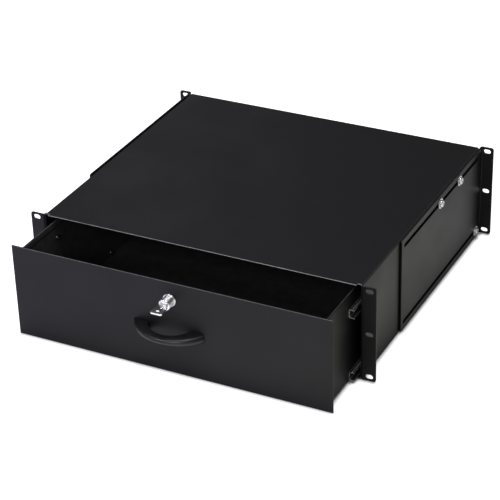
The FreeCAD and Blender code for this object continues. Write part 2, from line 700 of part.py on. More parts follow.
def drawer_rail_screws():
    """Pan-head screws from inside the tray through the drawer rails."""
    screws = []
    for sign in SIDES.values():
        for y, z in runner_screw_places():
            screw = turned("drawer_rail_screw", [
                ("runner_screw_head", "runner_screw_head", "0", "runner_screw_height"),
                ("runner_screw", "runner_screw", "0", "runner_screw_height + tray_sheet + rail_sheet"),
            ], Vector(int(sign), 0, 0))
            start = f"({TRAY_SIDE} - tray_sheet - runner_screw_height)"
            place(screw, f"{sign} * {start}", f"{y} + {OPEN}", z)
            screws.append(screw)
    group("drawer_rail_screws", screws)


def ball_places():
    """Where the balls stand along a cage, as y."""
    middle = f"(({CAGE_FRONT} + {CAGE_REAR}) / 2)"
    count = int(number("ball_count"))
    return [f"({middle} + {i - (count - 1) / 2} * ball_pitch)" for i in range(count)]


def ball_cage(side, row):
    """Sheet cage between the two members, with a hole for each ball."""
    sign, level = SIDES[side], SLIDE_LEVELS[row]
    body = new_body(f"ball_cage_{row}_{side}")
    tip = f"({BALL_OUT} - cage_lip)"
    web = f"({CAGE_WEB_OUT} - cage_sheet)"
    half = f"({BALL_UP} + cage_sheet / 2)"
    profile = channel(sign, CAGE_WEB_OUT, web, tip, level, half, "cage_sheet", "cage_bend")
    extrude(body, "cage", "XZ_Plane", CAGE_FRONT, CAGE_REAR, profile)
    extrude(body, "ball_holes", "XY_Plane", f"-{EAR_HALF}", EAR_HALF, *[
        lambda sketch, y=y: hole(sketch, f"{sign} * {BALL_OUT}", y, RACE)
        for y in ball_places()
    ], cut=True)
    place(body, y=HALF_OPEN)


def slide_balls(side):
    """The steel balls of the two slides on one side."""
    balls = []
    for level in SLIDE_LEVELS.values():
        for rise in (f"({level} + {BALL_UP})", f"({level} - {BALL_UP})"):
            for y in ball_places():
                ball = doc.addObject("Part::Sphere", "ball")
                bind(ball, "Radius", "ball_width / 2")
                place(ball, f"{SIDES[side]} * {BALL_OUT}", f"{y} + {HALF_OPEN}", rise)
                balls.append(ball)
    group("slide_balls_" + side, balls)


def rear_bracket(side):
    """Adjustable bracket: a plate with two long slots and an ear turned outwards."""
    sign = SIDES[side]
    body = new_body("rear_bracket_" + side)
    outer = "bend_radius + bracket_sheet"
    extrude(body, "plate", "XY_Plane", f"-{EAR_HALF}", EAR_HALF,
            lambda sketch: outline(sketch, [
                (f"{sign} * {PLATE_IN}", "bracket_front"),
                (f"{sign} * {PLATE_IN}", BRACKET_BACK, outer),
                (f"{sign} * {EAR_OUT}", BRACKET_BACK),
                (f"{sign} * {EAR_OUT}", BRACKET_REAR),
                (f"{sign} * {PLATE_OUT}", BRACKET_REAR, "bend_radius"),
                (f"{sign} * {PLATE_OUT}", "bracket_front"),
            ]))
    ear_edge = number(EAR_OUT)
    at_edge = lambda edge: along(edge, 1) and abs(abs(edge.BoundBox.XMin) - ear_edge) < 0.01
    round_edges(body, "ear_corners", "ear_round", at_edge)
    front = number("bracket_front")
    at_front = lambda edge: along(edge, 0) and abs(edge.BoundBox.YMin - front) < 0.01
    round_edges(body, "front_corners", "bracket_round", at_front)
    start = "(bracket_front + bracket_slot_front)"
    end = f"({BRACKET_REAR} - bracket_slot_rear)"
    middle, length = f"({start} + {end}) / 2", f"{end} - {start}"
    extrude(body, "long_slots", "YZ_Plane", f"-{EAR_OUT}", EAR_OUT, *[
        lambda sketch, z=z: slot(sketch, middle, z, length, "bracket_slot_width")
        for z in (BRACKET_SLOT_LEVEL, f"-{BRACKET_SLOT_LEVEL}")
    ], cut=True)
    extrude(body, "rack_slots", "XZ_Plane", "case_depth", f"{BRACKET_BACK} + bracket_sheet", *[
        lambda sketch, z=z: slot(sketch, f"{sign} * slot_span / 2", z, "slot_length", "slot_width")
        for z in ("-slot_rise", "0", "slot_rise")
    ], cut=True)


def bracket_fasteners():
    """Screws, washers and rivet nuts that hold the rear brackets to the case."""
    screws, washers, nuts = [], [], []
    for sign in SIDES.values():
        inward = Vector(-int(sign), 0, 0)
        for y, z in BRACKET_SCREWS:
            screw = turned("bracket_screw", [
                ("screw_head", "screw_head", "-screw_head_height", "0"),
                ("screw_shank", "screw_shank", "0", "screw_reach"),
            ], inward)
            place(screw, f"{sign} * ({PLATE_OUT} + washer_sheet)", y, z)
            screws.append(screw)
            disc = turned("washer_disc", [("washer_width", "washer_width", "0", "washer_sheet")], inward)
            washer = drilled("bracket_washer", disc, "screw_shank", "washer_sheet", inward)
            place(washer, f"{sign} * ({PLATE_OUT} + washer_sheet)", y, z)
            washers.append(washer)
            reach = "stand_off + cover_sheet + rivnut_reach"
            blank = turned("rivet_nut_blank", [
                ("rivnut_flange", "rivnut_flange", "0", "stand_off"),
                ("rivnut_barrel", "rivnut_barrel", "0", reach),
            ], inward)
            nut = drilled("rivet_nut", blank, "screw_shank", reach, inward)
            place(nut, f"{sign} * {PLATE_IN}", y, z)
            nuts.append(nut)
    group("bracket_screws", screws)
    group("bracket_washers", washers)
    group("rivet_nuts", nuts)


def stud_places():
    """The studs as (x, z): one near each corner of the tray's front wall."""
    return [
        (f"{sign} * ({TRAY_SIDE} - stud_side)", z)
        for sign in SIDES.values() for z in (f"({TRAY_LOW} + stud_inset)", f"({TRAY_HIGH} - stud_inset)")
    ]


def handle_screw_places():
    """The handle's screws as (x, z)."""
    half = "(handle_span / 2 - handle_screw_inset)"
    return [(f"(handle_side - {half})", "handle_level"), (f"(handle_side + {half})", "handle_level")]


def drawer_front():
    """Flat front panel with welded studs, a lock hole and handle screw holes."""
    body = new_body("drawer_front")
    half = f"({SIDE_OUT} - front_inset)"
    panel = rectangle(f"-{half}", half, FRONT_LOW, FRONT_HIGH)
    extrude(body, "panel", "XZ_Plane", FRONT_FACE, FRONT_BACK, panel)
    face = number(FRONT_FACE)
    on_face = lambda edge: abs(edge.BoundBox.YMax - face) < 0.01
    front, rear = f"{FRONT_FACE} - front_sheet", f"{FRONT_BACK} + front_sheet"
    round_edges(body, "front_edges", "front_edge", on_face)
    extrude(body, "studs", "XZ_Plane", FRONT_BACK, f"{FRONT_BACK} + stud_reach", *[
        lambda sketch, x=x, z=z: hole(sketch, x, z, "stud_shank / 2") for x, z in stud_places()
    ])
    extrude(body, "lock_hole", "XZ_Plane", front, rear,
            lambda sketch: hole(sketch, "lock_side", LOCK_LEVEL, "lock_barrel / 2"), cut=True)
    extrude(body, "handle_holes", "XZ_Plane", front, rear, *[
        lambda sketch, x=x, z=z: hole(sketch, x, z, "handle_screw_shank / 2")
        for x, z in handle_screw_places()
    ], cut=True)
    place(body, y=OPEN)


def drawer_floor():
    """Bottom sheet of the drawer's tray, on whose edges the four walls are welded."""
    body = new_body("drawer_floor")
    inner_low = f"({TRAY_LOW} + tray_sheet)"
    block(body, "plate", f"-{TRAY_SIDE}", TRAY_SIDE, FRONT_BACK, TRAY_REAR, TRAY_LOW, inner_low)
    round_edges(body, "corners", "tray_round", lambda edge: along(edge, 2))
    low = number(TRAY_LOW)
    round_edges(body, "lower_edges", "tray_round", lambda edge: abs(edge.BoundBox.ZMax - low) < 0.01)
    place(body, y=OPEN)


def drawer_side(side):
    """Side wall of the tray, folded over inwards to a hem along its rim."""
    sign = SIDES[side]
    body = new_body("drawer_side_" + side)
    inner, hem = f"({TRAY_SIDE} - tray_sheet)", f"({TRAY_SIDE} - 2 * tray_sheet)"
    wall_low, hem_low = f"({TRAY_LOW} + tray_sheet)", f"({TRAY_HIGH} - hem_height)"
    front, rear = f"({FRONT_BACK} + 2 * tray_sheet)", f"({TRAY_REAR} - 2 * tray_sheet)"
    wall = sorted((f"{sign} * {inner}", f"{sign} * {TRAY_SIDE}"), key=number)
    strip = sorted((f"{sign} * {hem}", f"{sign} * {inner}"), key=number)
    block(body, "wall", *wall, FRONT_BACK, TRAY_REAR, wall_low, TRAY_HIGH)
    block(body, "hem", *strip, front, rear, hem_low, TRAY_HIGH)
    outside, high = number(f"{sign} * {TRAY_SIDE}"), number(TRAY_HIGH)
    at_corner = lambda edge: along(edge, 2) and abs(edge.BoundBox.XMin - outside) < 0.01
    round_edges(body, "corners", "tray_round", at_corner)
    middle = number(inner)
    at_rim = lambda edge: (
        along(edge, 1) and abs(edge.BoundBox.ZMin - high) < 0.01
        and abs(abs(edge.BoundBox.XMin) - middle) > 0.01
    )
    round_edges(body, "rim", "tray_round", at_rim)
    extrude(body, "rail_screw_holes", "YZ_Plane", f"-{EAR_OUT}", EAR_OUT, *[
        lambda sketch, y=y, z=z: hole(sketch, y, z, "runner_screw / 2")
        for y, z in runner_screw_places()
    ], cut=True)
    place(body, y=OPEN)


def drawer_end(end):
    """Front or rear wall of the tray between its sides, with the same hem."""
    body = new_body("drawer_end_" + end)
    half, wall_low = f"({TRAY_SIDE} - tray_sheet)", f"({TRAY_LOW} + tray_sheet)"
    outer, sign = (FRONT_BACK, "1") if end == "front" else (TRAY_REAR, "-1")
    inner, hem = f"({outer} + {sign} * tray_sheet)", f"({outer} + {sign} * 2 * tray_sheet)"
    wall, strip = sorted((outer, inner), key=number), sorted((inner, hem), key=number)
    block(body, "wall", f"-{half}", half, *wall, wall_low, TRAY_HIGH)
    block(body, "hem", f"-{half}", half, *strip, f"({TRAY_HIGH} - hem_height)", TRAY_HIGH)
    high = number(TRAY_HIGH)
    at_rim = lambda edge: along(edge, 0) and abs(edge.BoundBox.ZMin - high) < 0.01
    round_edges(body, "rim", "tray_round", at_rim)
    if end == "front":
        front, rear = f"{FRONT_BACK} - tray_sheet", f"{inner} + tray_sheet"
        extrude(body, "lock_hole", "XZ_Plane", front, rear,
                lambda sketch: hole(sketch, "lock_side", LOCK_LEVEL, "lock_barrel / 2"), cut=True)
        holes = [(x, z, "handle_screw_shank / 2") for x, z in handle_screw_places()]
        holes += [(x, z, "stud_shank / 2") for x, z in stud_places()]
        extrude(body, "front_holes", "XZ_Plane", front, rear, *[
            lambda sketch, x=x, z=z, r=r: hole(sketch, x, z, r) for x, z, r in holes
        ], cut=True)
    place(body, y=OPEN)


def stud_nuts():
    """Hexagon nuts on the studs behind the drawer front."""
    start = f"({FRONT_BACK} + tray_sheet)"
    nuts = []
    for x, z in stud_places():
        blank = doc.addObject("Part::Prism", "stud_nut_blank")
        blank.Polygon = 6
        bind(blank, "Circumradius", "stud_nut / sqrt(3)")
        bind(blank, "Height", "stud_nut_height")
        back = Vector(0, 1, 0)
        blank.Placement = Placement(Vector(0, 0, 0), Rotation(Vector(0, 0, 1), back))
        nut = drilled("stud_nut", blank, "stud_shank", "stud_nut_height", back)
        place(nut, x, f"{start} + {OPEN}", z)
        nuts.append(nut)
    group("stud_nuts", nuts)


def handle():
    """Moulded bow handle: an arch in plan whose height swells towards the feet."""
    body = new_body("handle")
    arch = new_sketch(body, "bow_sketch", "XY_Plane", "-handle_tall / 2", "handle_tall / 2")
    outer_half, inner_half = "handle_span / 2", "(handle_span / 2 - handle_foot)"
    bow_line(arch, outer_half, "handle_reach", inner_half, "(handle_reach - handle_bar)")
    bow = body.newObject("PartDesign::Pad", "bow")
    bow.Profile = arch
    bow.Type = "Length"
    bind(bow, "Length", "handle_tall")
    for name, sign in (("upper", "1"), ("lower", "-1")):
        sketch = new_sketch(body, name + "_waist_sketch", "XZ_Plane", "-2 * handle_reach", "handle_reach")
        waist(sketch, sign)
        cut = body.newObject("PartDesign::Pocket", name + "_waist")
        cut.Profile = sketch
        cut.Type = "Length"
        cut.Reversed = True
        bind(cut, "Length", "3 * handle_reach")
    shortest = number("handle_span - 2 * handle_foot") - 0.01
    longest = number("handle_span") - 0.01
    outer_edge = lambda edge: edge.BoundBox.XLength > longest
    inner_edge = lambda edge: shortest < edge.BoundBox.XLength < number("handle_span - handle_foot")
    round_edges(body, "outer_edges", "handle_round", outer_edge)
    round_edges(body, "inner_edges", "handle_inner_round", inner_edge)
    extrude(body, "screw_holes", "XZ_Plane", "-handle_screw_depth", "front_sheet", *[
        lambda sketch, x=x: hole(sketch, f"{x} - handle_side", "0", "handle_screw_shank / 2")
        for x, z in handle_screw_places()
    ], cut=True)
    place(body, "handle_side", f"{FRONT_FACE} + {OPEN}", "handle_level")


def bow_line(sketch, outer_half, outer_reach, inner_half, inner_reach):
    """Two arcs through the feet and the crown, closed by the feet's flat backs."""
    arcs = []
    for half, reach in ((outer_half, outer_reach), (inner_half, inner_reach)):
        a, d = number(half), number(reach)
        arc = Part.Arc(Vector(-a, 0, 0), Vector(0, -d, 0), Vector(a, 0, 0))
        arcs.append(sketch.addGeometry(arc, False))
    outer, inner = arcs
    left = Vector(-number(outer_half), 0, 0), Vector(-number(inner_half), 0, 0)
    right = Vector(number(inner_half), 0, 0), Vector(number(outer_half), 0, 0)
    feet = [sketch.addGeometry(Part.LineSegment(*ends), False) for ends in (left, right)]
    for joint in (
        (feet[0], 1, outer, 1), (feet[0], 2, inner, 1), (feet[1], 1, inner, 2), (feet[1], 2, outer, 2),
    ):
        sketch.addConstraint(Sketcher.Constraint("Coincident", *joint))
    fix_point(sketch, outer, 1, f"-{outer_half}", "0")
    fix_point(sketch, outer, 2, outer_half, "0")
    fix_point(sketch, inner, 1, f"-{inner_half}", "0")
    fix_point(sketch, inner, 2, inner_half, "0")
    for arc, half, reach in ((outer, outer_half, outer_reach), (inner, inner_half, inner_reach)):
        radius = f"(({half}) * ({half}) + ({reach}) * ({reach})) / (2 * {reach})"
        fix(sketch, "Radius", arc, size=radius)


def waist(sketch, sign):
    """What is cut away above or below the bow, bounded by a shallow arc."""
    half = number("handle_span") / 2
    side = int(sign)
    foot, crown = number("handle_tall") / 2 * side, number("handle_waist") / 2 * side
    far = number("handle_tall") * side
    arc = Part.Arc(Vector(-half, foot, 0), Vector(0, crown, 0), Vector(half, foot, 0))
    curve = sketch.addGeometry(arc, False)
    ends = [Vector(-half, foot, 0), Vector(-half, far, 0), Vector(half, far, 0), Vector(half, foot, 0)]
    lines = [sketch.addGeometry(Part.LineSegment(ends[i], ends[i + 1]), False) for i in range(3)]
    first, last = (1, 2) if side > 0 else (2, 1)
    for joint in (
        (lines[0], 1, curve, first), (lines[0], 2, lines[1], 1),
        (lines[1], 2, lines[2], 1), (lines[2], 2, curve, last),
    ):
        sketch.addConstraint(Sketcher.Constraint("Coincident", *joint))
    fix_point(sketch, lines[0], 1, "-handle_span / 2", f"{sign} * handle_tall / 2")
    fix_point(sketch, lines[0], 2, "-handle_span / 2", f"{sign} * handle_tall")
    fix_point(sketch, lines[2], 1, "handle_span / 2", f"{sign} * handle_tall")
    fix_point(sketch, lines[2], 2, "handle_span / 2", f"{sign} * handle_tall / 2")
    rise = "((handle_tall - handle_waist) / 2)"
    radius = f"((handle_span / 2) * (handle_span / 2) + {rise} * {rise}) / (2 * {rise})"
    fix(sketch, "Radius", curve, size=radius)


def handle_screws():
    """Two pan-head screws from inside the tray into the handle's feet."""
    start = f"({FRONT_BACK} + tray_sheet)"
    screws = []
    for x, z in handle_screw_places():
        screw = turned("handle_screw", [
            ("handle_screw_head", "handle_screw_head", "-handle_screw_height", "0"),
            ("handle_screw_shank", "handle_screw_shank", "0",
             "tray_sheet + front_sheet + handle_screw_depth"),
        ], Vector(0, -1, 0))
        place(screw, x, f"{start} + {OPEN}", z)
        screws.append(screw)
    group("handle_screws", screws)


def place_on_lock_axis(thing, y="0"):
    place(thing, "lock_side", f"{FRONT_FACE} + {OPEN} + {y}", LOCK_LEVEL)


def lock_housing():
    """Turned housing: face, barrel, collar on the drawer front, threaded body behind."""
    body = new_body("lock_housing")
    bore = "(plug_width / 2 + plug_play)"
    revolve(body, "housing", [
        (bore, "-lock_reach"),
        ("lock_barrel / 2", "-lock_reach", "lock_rounding"),
        ("lock_barrel / 2", "-lock_flange_sheet"),
        ("lock_flange / 2", "-lock_flange_sheet", "lock_rounding"),
        ("lock_flange / 2", "0"),
        ("lock_barrel / 2", "0"),
        ("lock_barrel / 2", "lock_behind"),
        (bore, "lock_behind"),
    ])
    place_on_lock_axis(body)


def lock_nut():
    """Hexagon nut that clamps the housing to the drawer front."""
    body = new_body("lock_nut")
    start = "(front_sheet + tray_sheet)"
    extrude(body, "nut", "XZ_Plane", start, f"{start} + lock_nut_height",
            lambda sketch: hexagon(sketch, "0", "0", "lock_nut_flats"),
            lambda sketch: hole(sketch, "0", "0", "lock_barrel / 2"))
    place_on_lock_axis(body)


def lock_plug():
    """Turning plug with a keyway in its face and a square end for the cam."""
    body = new_body("lock_plug")
    extrude(body, "core", "XZ_Plane", "-lock_reach", CAM_FRONT,
            lambda sketch: hole(sketch, "0", "0", "plug_width / 2"))
    half = "plug_square / 2"
    extrude(body, "square", "XZ_Plane", CAM_FRONT, f"{CAM_FRONT} + cam_sheet",
            rectangle(f"-{half}", half, f"-{half}", half))
    wide, tall = "(key_blade / 2 + key_play)", "(key_sheet / 2 + key_play)"
    extrude(body, "keyway", "XZ_Plane", "-lock_reach - key_play", "-lock_reach + key_depth + key_play",
            rectangle(f"-{wide}", wide, f"-{tall}", tall), cut=True)
    end = f"({CAM_FRONT} + cam_sheet)"
    extrude(body, "screw_hole", "XZ_Plane", f"{end} - cam_screw_reach", f"{end} + cam_sheet",
            lambda sketch: hole(sketch, "0", "0", "cam_screw_shank / 2"), cut=True)
    place_on_lock_axis(body)


def key_cut(index, deep):
    """One bitting cut: a flat floor, deep mm below the blade's edge, and 45 degree flanks."""
    middle = f"(-lock_reach + key_cut_first + {index} * key_cut_pitch)"
    floor, far = f"(key_blade / 2 - {deep})", "key_blade"
    out = f"(key_cut_flat + {deep} + key_blade / 2)"
    return [
        (floor, f"{middle} - key_cut_flat"),
        (floor, f"{middle} + key_cut_flat"),
        (far, f"{middle} + {out}"),
        (far, f"{middle} - {out}"),
    ]


def key():
    """Flat key in the lock: a blade in the keyway and a bow with a ring hole."""
    body = new_body("key")
    face = "-lock_reach - key_stop"
    end = f"({face} - key_bow_length)"
    blade = "key_blade / 2"
    extrude(body, "blank", "XY_Plane", "-key_sheet / 2", "key_sheet / 2",
            lambda sketch: polygon(sketch, [
                (f"-{blade}", "-lock_reach + key_depth"),
                (f"-{blade}", face),
                ("-key_neck / 2", face),
                ("-key_bow / 2", f"{face} - key_taper"),
                ("-key_bow / 2", end),
                ("key_bow / 2", end),
                ("key_bow / 2", f"{face} - key_taper"),
                ("key_neck / 2", face),
                (blade, face),
                (blade, "-lock_reach + key_depth"),
            ]))
    far = number(end)
    at_end = lambda edge: along(edge, 2) and edge.BoundBox.YMin < far + 0.01
    round_edges(body, "bow_corners", "key_round", at_end)
    for index, deep in enumerate(KEY_CUTS):
        extrude(body, f"cut_{index}", "XY_Plane", "-key_sheet", "key_sheet",
                lambda sketch: polygon(sketch, key_cut(index, deep)), cut=True)
    extrude(body, "ring_hole", "XY_Plane", "-key_sheet", "key_sheet",
            lambda sketch: hole(sketch, "0", f"{end} + key_hole_inset", "key_hole / 2"), cut=True)
    rise = "(key_sheet / 2 + key_pad_rise)"
    extrude(body, "pad", "XY_Plane", f"-{rise}", rise,
            lambda sketch: hole(sketch, "0", f"{face} - key_pad_inset", "key_pad / 2"))
    place_on_lock_axis(body)


def lock_cam():
    """Cam plate on the plug's square end; it turns up behind the keeper."""
    body = new_body("lock_cam")
    half = "cam_width / 2"
    square = "(plug_square / 2 + cam_play)"
    tip = f"({LOCK_LEVEL} + cam_tip_gap - {TOP_UNDER})"
    extrude(body, "plate", "XZ_Plane", CAM_FRONT, f"{CAM_FRONT} + cam_sheet",
            rectangle(tip, half, f"-{half}", half, "cam_round"),
            rectangle(f"-{square}", square, f"-{square}", square))
    place_on_lock_axis(body)


def cam_screw():
    """Pan-head screw that holds the cam on the plug."""
    screw = turned("cam_screw_solid", [
        ("cam_screw_head", "cam_screw_head", "-cam_screw_height", "0"),
        ("cam_screw_shank", "cam_screw_shank", "0", "cam_screw_reach"),
    ], Vector(0, -1, 0))
    place_on_lock_axis(screw, f"{CAM_FRONT} + cam_sheet")
    keep(screw, "cam_screw")


def build():
    case_cover()
    case_floor()
    case_back()
    lock_keeper()
    for row in SLIDE_LEVELS:
        for side in SIDES:
            case_rail(side, row)
            drawer_rail(side, row)
            ball_cage(side, row)
    rail_rivets()
    drawer_rail_screws()
    for side in SIDES:
        slide_balls(side)
        rear_bracket(side)
    bracket_fasteners()
    drawer_front()
    drawer_floor()
    for side in SIDES:
        drawer_side(side)
    for end in ("front", "rear"):
        drawer_end(end)
    stud_nuts()
    handle()
    handle_screws()
    lock_housing()
    lock_nut()
    lock_plug()
    key()
    lock_cam()
    cam_screw()
    doc.recompute()


def check():
    """Stops unless every object is sound and every cut takes something away."""
    for thing in doc.Objects:
        if "Invalid" in thing.State or "Error" in thing.State:
            raise RuntimeError(f"{thing.Label} did not compute: {thing.State}")
        if thing.TypeId == "PartDesign::Pocket":
            if thing.Shape.Volume > thing.BaseFeature.Shape.Volume - 1e-3:
                raise RuntimeError(f"{thing.Label} cuts nothing")
    for piece in subparts:
        if piece.Shape.isNull() or not piece.Shape.isValid():
            raise RuntimeError(f"{piece.Label} has no valid shape")


def write():
    os.makedirs("parts", exist_ok=True)
    for piece in subparts:
        piece.Shape.exportStep(f"parts/{piece.Label}.step")


build()
check()
write()
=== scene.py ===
import math

import bmesh
import bpy
from mathutils import Matrix, Vector


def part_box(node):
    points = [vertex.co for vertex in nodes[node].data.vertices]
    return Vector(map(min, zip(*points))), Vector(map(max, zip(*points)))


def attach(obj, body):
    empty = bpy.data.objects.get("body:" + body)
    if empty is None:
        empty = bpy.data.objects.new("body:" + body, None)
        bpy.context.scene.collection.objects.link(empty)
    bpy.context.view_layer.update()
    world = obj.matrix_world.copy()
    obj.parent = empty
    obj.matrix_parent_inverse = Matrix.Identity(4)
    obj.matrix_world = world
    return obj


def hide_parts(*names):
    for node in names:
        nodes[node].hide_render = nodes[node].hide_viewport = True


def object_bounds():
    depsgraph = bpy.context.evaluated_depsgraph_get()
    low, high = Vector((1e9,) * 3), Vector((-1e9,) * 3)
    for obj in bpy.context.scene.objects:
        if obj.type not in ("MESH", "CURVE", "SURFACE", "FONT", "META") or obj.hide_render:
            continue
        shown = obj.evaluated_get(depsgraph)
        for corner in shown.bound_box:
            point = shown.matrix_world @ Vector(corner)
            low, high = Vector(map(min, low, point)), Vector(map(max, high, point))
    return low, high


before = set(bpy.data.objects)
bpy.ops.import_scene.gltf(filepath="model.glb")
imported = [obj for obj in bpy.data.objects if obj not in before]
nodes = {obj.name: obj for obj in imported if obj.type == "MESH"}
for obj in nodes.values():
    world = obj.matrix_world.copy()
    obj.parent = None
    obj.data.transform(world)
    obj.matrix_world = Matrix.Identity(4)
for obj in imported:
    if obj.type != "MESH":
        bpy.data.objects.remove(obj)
cad_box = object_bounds()

# Case cover: top, both sides and the slotted front ears, folded from one 1.5 mm steel sheet.
# It is powder coated in satin black, with fine orange peel and faint clouds of gloss. On its cut
# edges the coat is thin and rubbed, and a pale painted highlight line lies on the edges that face front and
# up, not on the ears.
COAT_BLACK = (0.0062, 0.0061, 0.0066)
COAT_ROUGHNESS = 0.48
COAT_SPECULAR = 0.235
PEEL_SIZE, GRAIN_SIZE, CLOUD_SIZE, SMEAR_SIZE = 0.0012, 0.0003, 0.09, 0.012
PEEL_DEPTH = 0.00003
# Share of the rubbed wear and painted highlight on edges that face back or down, and on the ears' edges.
SHADED_EDGE_SHARE = 0.04
CASE_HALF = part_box("rail_rivets")[1].x  # the rivets end flush with the case's sides


def new_material(name, color, roughness):
    """A principled material with its node tree, shader and object coordinates."""
    material = bpy.data.materials.new(name)
    material.use_nodes = True
    tree = material.node_tree
    shader = tree.nodes["Principled BSDF"]
    shader.inputs["Base Color"].default_value = (*color, 1)
    shader.inputs["Roughness"].default_value = roughness
    return material, tree, shader, tree.nodes.new("ShaderNodeTexCoord").outputs["Object"]


def math_node(tree, operation, first, second=0.0):
    """One step of arithmetic on sockets or numbers."""
    step = tree.nodes.new("ShaderNodeMath")
    step.operation = operation
    for socket, value in zip(step.inputs, (first, second)):
        if isinstance(value, (int, float)):
            socket.default_value = value
        else:
            tree.links.new(value, socket)
    return step.outputs["Value"]


def parts_of(tree, vector):
    """The X, Y and Z of a vector."""
    split = tree.nodes.new("ShaderNodeSeparateXYZ")
    tree.links.new(vector, split.inputs["Vector"])
    return split.outputs


def noise(tree, place, size, detail=2.0, stretch=(1, 1, 1)):
    """Noise whose features are about that many metres across, longer where stretch says."""
    mapping = tree.nodes.new("ShaderNodeMapping")
    mapping.inputs["Scale"].default_value = [1 / (size * part) for part in stretch]
    tree.links.new(place, mapping.inputs["Vector"])
    texture = tree.nodes.new("ShaderNodeTexNoise")
    texture.inputs["Scale"].default_value = 1.0
    texture.inputs["Detail"].default_value = detail
    tree.links.new(mapping.outputs["Vector"], texture.inputs["Vector"])
    return texture.outputs["Fac"]


def spread(tree, value, low, high, start=0.3, stop=0.7):
    """Maps a value from start..stop, where most of a noise lies, to low..high."""
    scale = tree.nodes.new("ShaderNodeMapRange")
    for name, number in zip(("From Min", "From Max", "To Min", "To Max"), (start, stop, low, high)):
        scale.inputs[name].default_value = number
    tree.links.new(value, scale.inputs["Value"])
    return scale.outputs["Result"]


def blend_colors(tree, share, low, high):
    """Goes from one colour to the other as the share goes from 0 to 1."""
    mix = tree.nodes.new("ShaderNodeMix")
    mix.data_type = "RGBA"
    tree.links.new(share, mix.inputs["Factor"])
    colors_in, color_out = mix.inputs[6:8], mix.outputs[2]
    for socket, value in zip(colors_in, (low, high)):
        if isinstance(value, tuple):
            socket.default_value = (*value, 1)
        else:
            tree.links.new(value, socket)
    return color_out


def rounded_normal(tree, radius):
    """The normal as if edges were rounded by that radius."""
    edge = tree.nodes.new("ShaderNodeBevel")
    edge.samples = 8
    edge.inputs["Radius"].default_value = radius
    return edge.outputs["Normal"]


def edge_share(tree, place, normal, shaded_share=1.0):
    """1 on edges and 0 on flat faces, for wear and a painted highlight, scaled by the given share where an
    edge faces back or down or is an ear's.

    All the flat faces lie square to the axes, so that an edge is where a normal leans off them.
    """
    leaning = parts_of(tree, normal)
    sizes = [math_node(tree, "ABSOLUTE", part) for part in leaning]
    largest = math_node(tree, "MAXIMUM", math_node(tree, "MAXIMUM", *sizes[:2]), sizes[2])
    edge = spread(tree, largest, 0.0, 1.0, start=0.99, stop=0.9)
    # Painted highlight: the full share lands on edges that face front and up, toward the lamps.
    front = spread(tree, leaning["Y"], shaded_share, 1.0, start=0.0, stop=-0.3)
    upper = spread(tree, leaning["Z"], shaded_share, 1.0, start=0.05, stop=0.3)
    across = math_node(tree, "ABSOLUTE", parts_of(tree, place)["X"])
    off_ear = spread(tree, across, 1.0, shaded_share, start=CASE_HALF - 0.0007, stop=CASE_HALF - 0.0001)
    return math_node(tree, "MULTIPLY", math_node(tree, "MULTIPLY", edge, off_ear),
                     math_node(tree, "MULTIPLY", front, upper))


def relief(tree, shader, height, depth, normal):
    """Bumps of that many metres on top of the rounded edges."""
    bump = tree.nodes.new("ShaderNodeBump")
    bump.inputs["Distance"].default_value = depth
    tree.links.new(height, bump.inputs["Height"])
    tree.links.new(normal, bump.inputs["Normal"])
    tree.links.new(bump.outputs["Normal"], shader.inputs["Normal"])


def powder_coat(name, rubbed_highlight, rounding, dust_and_fill_light=None, inside=0.0):
    """Satin coat, paler and smoother on edges, which are rubbed and carry a painted highlight; inside that
    half width its colour is a dust film that is also painted fill light.
    """
    material, tree, shader, place = new_material(name, COAT_BLACK, COAT_ROUGHNESS)
    shader.inputs["Specular IOR Level"].default_value = COAT_SPECULAR
    normal = rounded_normal(tree, rounding)
    peel, grain = noise(tree, place, PEEL_SIZE, detail=1.0), noise(tree, place, GRAIN_SIZE)
    cloud, smear = noise(tree, place, CLOUD_SIZE), noise(tree, place, SMEAR_SIZE, detail=3.0)
    patches = spread(tree, smear, 0.6, 1.0)
    edge = math_node(tree, "MULTIPLY", edge_share(tree, place, normal, SHADED_EDGE_SHARE), patches)
    dark, pale = (tuple(share * part for part in COAT_BLACK) for share in (0.8, 1.2))
    surface = blend_colors(tree, spread(tree, grain, 0.0, 1.0), dark, pale)
    # Painted fill light: the pale film inside lifts the tray's deep shade, as well as standing for dust.
    if dust_and_fill_light:
        across = math_node(tree, "ABSOLUTE", parts_of(tree, place)["X"])
        within = spread(tree, across, 1.0, 0.0, start=inside, stop=inside + 0.0004)
        surface = blend_colors(tree, math_node(tree, "MULTIPLY", within, patches), surface, dust_and_fill_light)
    # Painted highlight: the edge share blends the coat toward its pale rubbed colour.
    tree.links.new(blend_colors(tree, edge, surface, rubbed_highlight), shader.inputs["Base Color"])
    satin = spread(tree, cloud, COAT_ROUGHNESS - 0.05, COAT_ROUGHNESS + 0.05)
    polish = spread(tree, edge, 1.0, 0.55, start=0.0, stop=1.0)
    tree.links.new(math_node(tree, "MULTIPLY", satin, polish), shader.inputs["Roughness"])
    relief(tree, shader, math_node(tree, "ADD", peel, grain), PEEL_DEPTH, normal)
    return material


def finish(material, *names):
    """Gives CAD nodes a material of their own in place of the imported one."""
    for name in names:
        mesh = nodes[name].data
        mesh.materials.clear()
        mesh.materials.append(material)


# The cover's pale edge colour is mostly a painted highlight line.
cover_coat = powder_coat("cover_powder_coat", rubbed_highlight=(0.7, 0.7, 0.72), rounding=0.0012)
finish(cover_coat, "case_cover")

# Case floor and rear wall, and the angle under the top that the lock's cam catches behind.
# They are thinner sheets, spot-welded to the cover inside and coated with it.
# These coats' edges carry a fainter painted highlight line along with the rubbing.
coat = powder_coat("black_powder_coat", rubbed_highlight=(0.23, 0.23, 0.24), rounding=0.0009)
finish(coat, "case_floor", "case_back", "lock_keeper")

